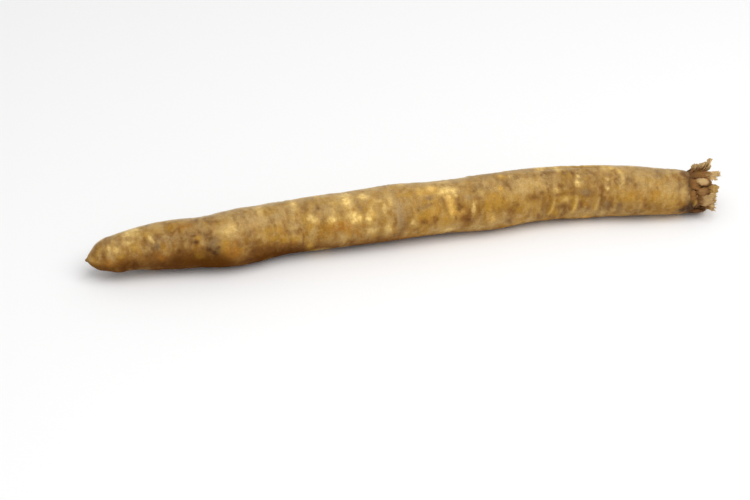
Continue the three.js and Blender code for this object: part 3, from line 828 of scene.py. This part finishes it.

# Each stub is a few sheaths, one inside another. middle and half_span are in degrees round the root;
# line is [station, outer distance from the axis] along it, and thick its thickness at foot and end.
# tear is how deep the end is torn, reach the length of its fibres, and lift how steeply they stand off.
# From the share pale_from of its length it turns pale, as far as pale. shade is painted shade over all
# of it and its fibres.
LEAF_STUBS = {
    "leaf_stub_01": [
        dict(middle=-37, half_span=28, thick=[0.8, 0.35], tear=0.8, fibres=60, reach=1.1, lift=1.0,
             pale_from=0.72, pale=1.0, line=[[251.4, 8.1], [253.0, 8.9], [254.0, 9.9], [254.6, 11.4]]),
        dict(middle=-33, half_span=27, thick=[0.8, 0.35], tear=0.9, fibres=60, reach=1.1, lift=1.0,
             pale_from=0.72, pale=1.0, line=[[251.8, 8.0], [253.8, 8.9], [255.2, 9.8], [256.2, 11.2]]),
        dict(middle=-36, half_span=27, thick=[0.8, 0.35], tear=0.9, fibres=60, reach=1.2, lift=0.9,
             pale_from=0.72, pale=1.0, line=[[252.0, 7.9], [254.6, 8.8], [256.8, 9.8], [258.0, 11.6]]),
        dict(middle=-34, half_span=25, thick=[0.8, 0.4], tear=0.9, fibres=60, reach=1.2, lift=0.7,
             pale_from=0.72, pale=1.0, line=[[252.2, 7.7], [255.4, 8.7], [258.2, 9.8], [259.9, 12.0]]),
        dict(middle=-31, half_span=20, thick=[0.9, 0.4], tear=0.9, fibres=60, reach=1.3, lift=0.4,
             pale_from=0.68, pale=1.0, line=[[252.2, 7.6], [256.0, 8.5], [259.4, 10.2], [261.6, 13.3]]),
        dict(middle=-24, half_span=21, thick=[1.2, 0.5], tear=0.9, fibres=50, reach=1.0, lift=0.5,
             pale_from=0.80, pale=1.0, line=[[251.6, 7.4], [256.0, 8.3], [259.4, 9.3], [260.8, 11.0]]),
    ],
    "leaf_stub_02": [
        dict(middle=4, half_span=14, thick=[1.4, 0.8], tear=1.8, fibres=60, reach=1.3, lift=0.3,
             pale_from=0.58, pale=0.78,
             line=[[250.2, 8.1], [253.0, 8.9], [257.0, 9.1], [260.5, 8.8], [264.2, 8.5]]),
        dict(middle=18, half_span=12, thick=[1.2, 0.7], tear=1.6, fibres=44, reach=1.2, lift=0.3,
             pale_from=0.60, pale=0.74, line=[[250.8, 7.7], [254.0, 8.3], [258.0, 8.7], [262.0, 8.4]]),
        dict(middle=-8, half_span=13, thick=[1.2, 0.7], tear=1.5, fibres=40, reach=1.2, lift=0.3,
             pale_from=0.60, pale=0.74, line=[[251.4, 7.3], [255.0, 7.8], [259.0, 7.8], [262.4, 7.6]]),
    ],
    "leaf_stub_03": [
        dict(middle=30.5, half_span=15, thick=[2.6, 1.8], tear=0.7, fibres=24, reach=0.8, lift=0.2,
             pale_from=0.9, pale=0.5, cut=[0.55, 0.30, 0.86, 0.70],
             line=[[250.4, 8.2], [252.6, 8.8], [255.6, 9.4], [258.2, 9.0], [259.8, 8.0]]),
        dict(middle=36, half_span=19, thick=[1.2, 0.5], tear=1.2, fibres=24, reach=0.9, lift=0.3,
             pale_from=0.9, pale=0.2, line=[[249.8, 8.5], [251.6, 8.9], [253.2, 8.8], [254.6, 8.2]]),
    ],
    "leaf_stub_04": [
        dict(middle=58, half_span=15, thick=[2.4, 1.8], tear=0.9, fibres=24, reach=0.8, lift=0.3,
             pale_from=0.95, pale=0.4, cut=[0.55, 0.30, 0.8, 0.10],
             line=[[251.4, 7.6], [253.4, 8.3], [255.8, 8.9], [258.8, 8.2]]),
        dict(middle=72, half_span=22, thick=[1.1, 0.5], tear=1.3, fibres=24, reach=0.9, lift=0.3,
             pale_from=0.9, pale=0.2, line=[[249.4, 8.6], [250.8, 8.9], [252.0, 8.8], [253.2, 8.2]]),
    ],
    "leaf_stub_05": [
        dict(middle=86, half_span=20, thick=[1.6, 0.8], tear=1.4, fibres=60, reach=1.2, lift=0.3,
             pale_from=0.24, pale=0.50,
             line=[[252.2, 7.2], [254.2, 8.2], [256.4, 8.9], [258.6, 8.9], [260.6, 8.6]]),
        dict(middle=107, half_span=14, thick=[1.4, 0.6], tear=1.3, fibres=60, reach=1.3, lift=0.6,
             pale_from=0.66, pale=0.72, line=[[253.0, 6.8], [256.0, 7.6], [258.2, 9.1], [260.2, 10.1]]),
        dict(middle=80, half_span=18, thick=[1.2, 0.6], tear=1.4, fibres=30, reach=1.0, lift=0.2,
             pale_from=0.40, pale=0.7, line=[[252.0, 7.0], [256.0, 7.8], [261.2, 7.7]]),
    ],
    "leaf_stub_06": [
        dict(middle=137, half_span=18, thick=[1.3, 0.6], tear=1.2, fibres=24, reach=0.9, lift=0.4,
             pale_from=0.95, pale=0.2, shade=0.6,
             line=[[249.8, 8.5], [252.6, 9.0], [255.2, 9.0], [257.2, 8.7]]),
        dict(middle=129, half_span=13, thick=[1.2, 0.6], tear=1.4, fibres=24, reach=0.9, lift=0.3,
             pale_from=0.9, pale=0.2, shade=0.7, line=[[251.4, 7.5], [255.0, 8.0], [257.8, 7.7]]),
    ],
    "leaf_stub_07": [
        dict(middle=168, half_span=24, thick=[1.3, 0.6], tear=1.3, fibres=40, reach=1.1, lift=0.4,
             pale_from=0.7, pale=0.6, line=[[250.0, 8.5], [253.0, 8.8], [257.4, 8.6]]),
        dict(middle=160, half_span=20, thick=[1.2, 0.6], tear=1.5, fibres=30, reach=1.0, lift=0.3,
             pale_from=0.6, pale=0.7, line=[[251.2, 7.5], [255.0, 7.9], [259.0, 7.7]]),
    ],
    "leaf_stub_08": [
        dict(middle=206, half_span=24, thick=[1.3, 0.5], tear=1.4, fibres=40, reach=1.2, lift=0.5,
             pale_from=0.65, pale=0.7, line=[[249.8, 8.6], [252.6, 9.0], [256.4, 9.2]]),
        dict(middle=212, half_span=21, thick=[1.2, 0.6], tear=1.5, fibres=40, reach=1.2, lift=0.3,
             pale_from=0.6, pale=0.7, line=[[251.0, 7.7], [255.0, 8.3], [259.2, 8.6]]),
    ],
    "leaf_stub_09": [
        dict(middle=245, half_span=24, thick=[1.3, 0.5], tear=1.3, fibres=50, reach=1.3, lift=0.7,
             pale_from=0.6, pale=0.8, line=[[249.6, 8.7], [252.4, 9.3], [255.4, 10.2]]),
        dict(middle=240, half_span=20, thick=[1.2, 0.5], tear=1.5, fibres=50, reach=1.4, lift=0.5,
             pale_from=0.55, pale=0.8, line=[[250.8, 7.9], [255.0, 8.8], [260.6, 9.8]]),
        dict(middle=258, half_span=16, thick=[1.1, 0.6], tear=1.3, fibres=30, reach=1.1, lift=0.3,
             pale_from=0.6, pale=0.7, line=[[251.6, 7.2], [256.0, 7.9], [261.2, 8.1]]),
    ],
    "leaf_stub_10": [
        dict(middle=286, half_span=27, thick=[1.0, 0.4], tear=1.1, fibres=60, reach=1.4, lift=0.9,
             pale_from=0.5, pale=0.9, line=[[249.8, 8.8], [252.4, 9.6], [255.0, 10.9]]),
        dict(middle=290, half_span=25, thick=[1.1, 0.4], tear=1.3, fibres=60, reach=1.4, lift=0.7,
             pale_from=0.5, pale=0.9, line=[[250.6, 8.1], [254.4, 9.1], [258.4, 11.0]]),
        dict(middle=283, half_span=21, thick=[1.1, 0.5], tear=1.3, fibres=60, reach=1.4, lift=0.5,
             pale_from=0.55, pale=0.9, line=[[251.2, 7.6], [256.0, 8.8], [261.6, 11.0]]),
        dict(middle=297, half_span=16, thick=[1.0, 0.5], tear=1.2, fibres=30, reach=1.2, lift=0.3,
             pale_from=0.6, pale=0.8, line=[[251.8, 7.0], [257.0, 8.0], [260.8, 9.2]]),
    ],
}


def frayed(roots, leads, lengths, radii, flop):
    """Thin fibres, each from its root along its lead: a section of six sides that shrinks to a
    point, on a path that flops to one side by the square of the distance along it."""
    along = np.linspace(0, 1, FIBRE_ROWS)[None, :, None, None]
    around = (np.arange(FIBRE_SIDES) * 2 * np.pi / FIBRE_SIDES)[None, None, :, None]
    leads = unit(leads)
    first = unit(np.cross(leads, [0.3, 0.2, 0.9]))
    second = np.cross(leads, first)
    lead, first, second, root, bend = (v[:, None, None, :] for v in (leads, first, second, roots, flop))
    length = lengths[:, None, None, None]
    thin = radii[:, None, None, None] * (1 - 0.9 * along ** 1.5)
    path = root + length * (lead * along + bend * along ** 2)
    return path + thin * (first * np.cos(around) + second * np.sin(around))


def torn_layer(
    seed, middle, half_span, line, thick, tear, fibres, reach, lift, pale_from, pale, cut=None, shade=0
):
    """A curved sheath, closed at both ends: it turns from side to side by its span, which narrows,
    and its outside follows its line, with ribs along it, frayed sides and a torn end. A cut is a
    flat face on it: [middle along it, half length, half width, paleness]."""
    pick = np.random.default_rng(seed)
    outer_at = through(line)
    foot_at, length = line[0][0], line[-1][0] - line[0][0]
    along = np.linspace(0, 1, SHEATH_ROWS)[:, None]
    around = (np.arange(SHEATH_SIDES) * 2 * np.pi / SHEATH_SIDES)[None, :]
    across = np.sign(np.cos(around)) * np.abs(np.cos(around)) ** 0.8 + 0 * along
    layer = 0.5 + 0.5 * np.sign(np.sin(around)) * np.abs(np.sin(around)) ** 0.8 + 0 * along
    thickness = thick[0] + (thick[1] - thick[0]) * along
    width = np.radians(half_span) * line[-1][1]
    through_it = thickness * layer + SEED_STEP * seed
    seat = np.stack([length * along + 0 * across, width * across, through_it], -1)
    bulk = step_up(thickness, 1.2, 2.0)
    ribs = 0.15 * layered(seat, [7, 0.8, 2], 101)
    ribs += (0.16 + 0.16 * bulk) * lumps(seat, [2.8, 1.7, 2], 105)
    torn = 0.5 + 0.7 * lumps(seat, [ENDLESS, 1.3, 4], 107)
    torn += 0.6 * lumps(seat, [ENDLESS, 0.55, 4], 109)
    sway = np.radians(4) * lumps(seat, [2.6, ENDLESS, ENDLESS], 115 + seed)
    sway += np.radians(half_span) * 0.16 * across * lumps(seat, [1.0, 3, ENDLESS], 117)
    curl = pick.uniform(-0.2, 0.7) * along ** 3 * across ** 2

    def spot_on(along, across, depth):
        """A point of the sheath at shares of its length, width and thickness."""
        at = foot_at + length * along
        turn = np.radians(middle - half_span * across * (1 - STUB_TAPER * along))
        inside = (thick[0] + (thick[1] - thick[0]) * along) * (1 - depth)
        return at, turn, outer_at(at) - inside

    at, turn, away = spot_on(along + 0 * across, across, layer)
    away = away + curl + ribs * (1 - 0.7 * bulk * (1 - layer))
    sheath = place(at - tear * torn * along ** 5, turn + sway, away) + shift
    turned = along + 0.12 * lumps(seat, [3, 0.7, 2], 111) + 0.10 * lumps(seat, 1.2, 112)
    pale_share = pale * step_up(turned, pale_from, pale_from + 0.22)
    rim = np.zeros(across.shape)
    if cut:
        at_cut, cut_length, cut_width, cut_pale = cut
        oval = np.hypot((along - at_cut) / cut_length, across / cut_width)
        oval = oval + 0.30 * lumps(seat, 1.5, 113)
        face = (1 - step_up(oval, 0.40, 1.15)) * step_up(layer, 0.5, 0.8)
        pale_share = pale_share * step_up(oval, 1.0, 1.4) * (1 - face) + cut_pale * face
        rim = np.exp(-((oval - 1.30) / 0.25) ** 2) * step_up(layer, 0.4, 0.7)
    # Painted shade: the sheath is darker at its foot, at its sides and on its inner face, where the
    # sheaths lie in one another's shade, and less so on its raised ribs. The rim round a cut is a brown
    # edge of its own.
    foot = 1 - step_up(along, 0.05, 0.5)
    sides = step_up(np.abs(across), 0.75, 1.0) * (1 - 0.6 * along)
    inside = 1 - step_up(layer, 0.1, 0.5)
    brown = 1 - pale_share
    shade_and_rim = shade + 0.75 * foot + 0.5 * sides * brown + 0.35 * inside * brown + 0.7 * rim
    shade_and_dark = np.clip(shade_and_rim - 0.9 * ribs, 0, 1)

    start = 1 - 0.7 * pick.random(fibres) ** 2
    side = pick.uniform(-0.97, 0.97, fibres)
    depth = pick.uniform(0.2, 1.0, fibres)
    roots = place(*spot_on(start * 0.92, side, depth)) + shift
    ahead = place(*spot_on(start * 0.92 + 0.05, side, depth)) + shift
    outward = place(*spot_on(start * 0.92, side, depth + 0.3)) + shift
    leads = unit(ahead - roots) + lift * pick.uniform(0.0, 1, (fibres, 1)) * unit(outward - roots)
    leads += 0.25 * pick.normal(0, 1, (fibres, 3))
    lengths = reach * pick.uniform(0.4, 1.2, fibres)
    radii = FIBRE_RADIUS * pick.uniform(0.6, 1.3, fibres)
    strands = frayed(roots, leads, lengths, radii, 0.25 * pick.normal(0, 1, (fibres, 3)))
    strand_pale = pale * step_up(start, pale_from - 0.1, pale_from + 0.2)
    strand_pale = strand_pale[:, None, None] * np.linspace(0.8, 1.0, FIBRE_ROWS)[None, :, None]

    shells = [(sheath, {"seat": seat, "pale_share": pale_share, "shade_and_dark": shade_and_dark})]
    for strand, share in zip(strands, strand_pale):
        shells.append((strand, {"seat": strand, "pale_share": share, "shade_and_dark": np.full((1, 1), shade)}))
    for rings, _ in shells:
        rings[..., 2] = np.maximum(rings[..., 2], 0)
    return shells


# Fibre grain: streaks along the leaf base. Place is along, across and through it.
fibre_grain, given, result = new_group(
    "Fibre grain", {"Place": "Vector", "Width": "Float"}, {"Streaks": "Float", "Height": "Float"}
)
DRAWN_OUT = (0.16, 1.0, 1.0)
drawn = vector_calc(fibre_grain, "MULTIPLY", given.outputs["Place"], DRAWN_OUT)
narrow = calc(fibre_grain, "DIVIDE", 1.0, given.outputs["Width"])
scaled = vector_calc(fibre_grain, "SCALE", drawn, narrow)
noise = {"Vector": scaled, "Scale": 1.0, "Detail": 3.0}
streaky = add_node(fibre_grain, "ShaderNodeTexNoise", noise).outputs["Fac"]
fibre_grain.links.new(rise(fibre_grain, streaky, 0.34, 0.66), result.inputs["Streaks"])
fibre_grain.links.new(streaky, result.inputs["Height"])

# SHEATH_SHADE_AND_DARK is the dark brown used for the sheaths' painted shade and their own dark edges.
SHEATH = (0.188, 0.083, 0.024, 1)
SHEATH_SHADE_AND_DARK = (0.070, 0.026, 0.007, 1)
DRY_STRAW = (0.720, 0.505, 0.230, 1)
DRY_TAN = (0.340, 0.165, 0.036, 1)


def dry_look(name, base, pale_colour, rough):
    """Dry leaf base: a base colour streaked along its fibres, paler where it is torn or cut, and darker
    where it is given painted shade, in its folds, at its foot and on its inner faces, and along its own
    brown edges."""
    material, tree, shader = new_material(name)
    along_fibres = {"Place": value_of(tree, "seat", "Vector"), "Width": 0.55}
    fibres = add_node(tree, "ShaderNodeGroup", along_fibres, node_tree=fibre_grain).outputs
    streaks = fibres["Streaks"]
    colour = paint(tree, base, DRY_TAN, calc(tree, "MULTIPLY", streaks, 0.45))
    uneven = rise(tree, streaks, 0, 1, 0.80, 1.0)
    pale_now = calc(tree, "MULTIPLY", value_of(tree, "pale_share"), uneven)
    colour = paint(tree, colour, pale_colour, pale_now)
    colour = paint(tree, colour, SHEATH_SHADE_AND_DARK, calc(tree, "MULTIPLY", value_of(tree, "shade_and_dark"), 0.85))
    tree.links.new(colour, shader.inputs["Base Color"])
    shader.inputs["Roughness"].default_value = rough
    shader.inputs["Specular IOR Level"].default_value = 0.15
    bump_inputs = {"Height": fibres["Height"], "Strength": 0.5, "Distance": 0.2 * MM}
    bump = add_node(tree, "ShaderNodeBump", bump_inputs)
    tree.links.new(bump.outputs["Normal"], shader.inputs["Normal"])
    return material


dry_leaf = dry_look("dry_leaf", SHEATH, DRY_STRAW, 0.8)
for number, (name, layers) in enumerate(LEAF_STUBS.items(), 4):
    shells = []
    for layer_number, layer in enumerate(layers):
        shells += torn_layer(10 * number + layer_number, **layer)
    stub = grown(name.replace("leaf_stub", "torn_leaf_base"), shells, dry_leaf)
    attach(stub, "root")
    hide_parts(name)


# ---------- Heart stub ----------
# The young leaf stalks at the middle of the crown, rolled in one another and cut across: pale, with
# a brown edge to each layer of the roll.

HEART_ANGLE = 50
HEART_OFF_AXIS = 2.4
HEART_RADIUS = 2.8
HEART_END = 262.2
HEART_TAPER = 0.7
HEART_LAYERS = 3
CUT_SLANT = 0.5
GRAIN_LENGTH, GRAIN_WIDTH = 12, 2.5  # the straight stalk that its grain is laid out on
SIDE_ROWS, CUT_ROWS, HEART_SIDES = 34, 30, 72
STALK = (0.500, 0.315, 0.105, 1)

side_share = np.linspace(0, 1, SIDE_ROWS)
cut_share = np.linspace(1, 0.03, CUT_ROWS)
out_share = np.concatenate([np.ones(SIDE_ROWS), cut_share])[:, None]
up_share = np.concatenate([side_share, np.ones(CUT_ROWS)])[:, None]
turn = (np.arange(HEART_SIDES) * 2 * np.pi / HEART_SIDES)[None, :]
seat = np.stack([
    GRAIN_LENGTH * up_share + 0 * turn,
    GRAIN_WIDTH * out_share * np.cos(turn),
    GRAIN_WIDTH * out_share * np.sin(turn),
], -1)
roll = np.cos(2 * np.pi * (HEART_LAYERS * out_share + turn / (2 * np.pi)))
heart_ribs = 0.2 * layered(seat, [8, 0.9, 0.9], 121) + 0.3 * lumps(seat, 1.7, 125)
heart_ribs *= step_up(out_share, 0.7, 1.0)
heart_distance = out_share * (HEART_RADIUS * (1 - (1 - HEART_TAPER) * up_share)) + heart_ribs
heart_up = HEART_OFF_AXIS * np.cos(np.radians(HEART_ANGLE)) + heart_distance * np.cos(turn)
heart_out = HEART_OFF_AXIS * np.sin(np.radians(HEART_ANGLE)) + heart_distance * np.sin(turn)
on_cut = up_share >= 1
rugged = 0.6 * lumps(seat, [ENDLESS, 1.5, 1.5], 127) + 0.5 * lumps(seat, [ENDLESS, 0.7, 0.7], 129)
dome = 0.35 * roll * step_up(out_share, 0.05, 0.3) + 0.5 * (1 - out_share)
bulge = on_cut * dome + up_share ** 4 * rugged
slope = CUT_SLANT * heart_distance * np.cos(turn - 0.6) * up_share ** 3
heart_at = CORE_END - 0.5 + (HEART_END - CORE_END) * up_share + bulge + slope
heart_rings = place(heart_at, np.arctan2(heart_out, heart_up), np.hypot(heart_up, heart_out)) + shift
# Painted shade at the foot of the stalks, where they go into the crown.
foot_shade = (up_share < 1) * 0.6 * (1 - step_up(up_share, 0.0, 0.5))
rolled_dark = on_cut * (0.75 * step_up(-roll, 0.1, 0.9)) + foot_shade
heart_pale = 0.85 - 0.5 * (1 - step_up(up_share, 0.1, 0.8)) + 0.15 * lumps(seat, [6, 0.8, 0.8], 123)
pale_stalk = dry_look("pale_stalk", DRY_TAN, STALK, 0.62)
heart_values = {
    "seat": seat,
    "pale_share": np.clip(heart_pale, 0, 1),
    "shade_and_dark": np.clip(rolled_dark - heart_ribs, 0, 1),
}
heart = grown("cut_heart_stalks", [(heart_rings, heart_values)], pale_stalk)
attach(heart, "root")
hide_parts("heart_stub")


# ---------- Floor, light and camera ----------
# A plain pale sheet under a large soft lamp above the crown's side, with light from all round. The
# lengths in this section are in metres.

FLOOR_HALF = 6.0
FLOOR_DROP = 0.00004  # keeps the sheet just clear of the faces that rest on it
KEY_PLACE = Vector((0.22, -0.34, 0.85))
KEY_WIDTH = 0.9
KEY_WATTS = 6.2
STUDIO_GLOW = 0.62

floor_corners = [(-1, -1), (1, -1), (1, 1), (-1, 1)]
floor_points = [(x * FLOOR_HALF, y * FLOOR_HALF, -FLOOR_DROP) for x, y in floor_corners]
floor_mesh = bpy.data.meshes.new("floor")
floor_mesh.from_pydata(floor_points, [], [(0, 1, 2, 3)])
floor = bpy.data.objects.new("floor", floor_mesh)
bpy.context.scene.collection.objects.link(floor)
floor_material, tree, shader = new_material("floor_paper")
shader.inputs["Base Color"].default_value = (0.92, 0.92, 0.92, 1)
shader.inputs["Roughness"].default_value = 0.9
floor_mesh.materials.append(floor_material)

key_lamp = bpy.data.lights.new("key", "AREA")
key_lamp.size = KEY_WIDTH
key_lamp.energy = KEY_WATTS
key = bpy.data.objects.new("key", key_lamp)
key.location = KEY_PLACE
key.rotation_euler = (-KEY_PLACE).to_track_quat("-Z", "Y").to_euler()
bpy.context.scene.collection.objects.link(key)

world = bpy.data.worlds.new("studio")
world.use_nodes = True
background = world.node_tree.nodes["Background"]
background.inputs["Color"].default_value = (1, 1, 1, 1)
background.inputs["Strength"].default_value = STUDIO_GLOW
bpy.context.scene.world = world
bpy.context.scene.view_settings.view_transform = "Standard"

CAMERA_TARGET = Vector((-0.01453, -0.004655, 0.0))
CAMERA_AZIMUTH = -13.0
CAMERA_ELEVATION = 35.0
CAMERA_DISTANCE = 0.8517
camera_data = bpy.data.cameras.new("camera")
camera_data.lens = 100
camera_data.sensor_width = 36
camera = bpy.data.objects.new("camera", camera_data)
azimuth, elevation = np.radians([CAMERA_AZIMUTH, CAMERA_ELEVATION])
level = np.cos(elevation)
back = Vector((np.sin(azimuth) * level, -np.cos(azimuth) * level, np.sin(elevation)))
camera.location = CAMERA_TARGET + CAMERA_DISTANCE * back
camera.rotation_euler = (-back).to_track_quat("-Z", "Y").to_euler()
bpy.context.scene.collection.objects.link(camera)
bpy.context.scene.camera = camera
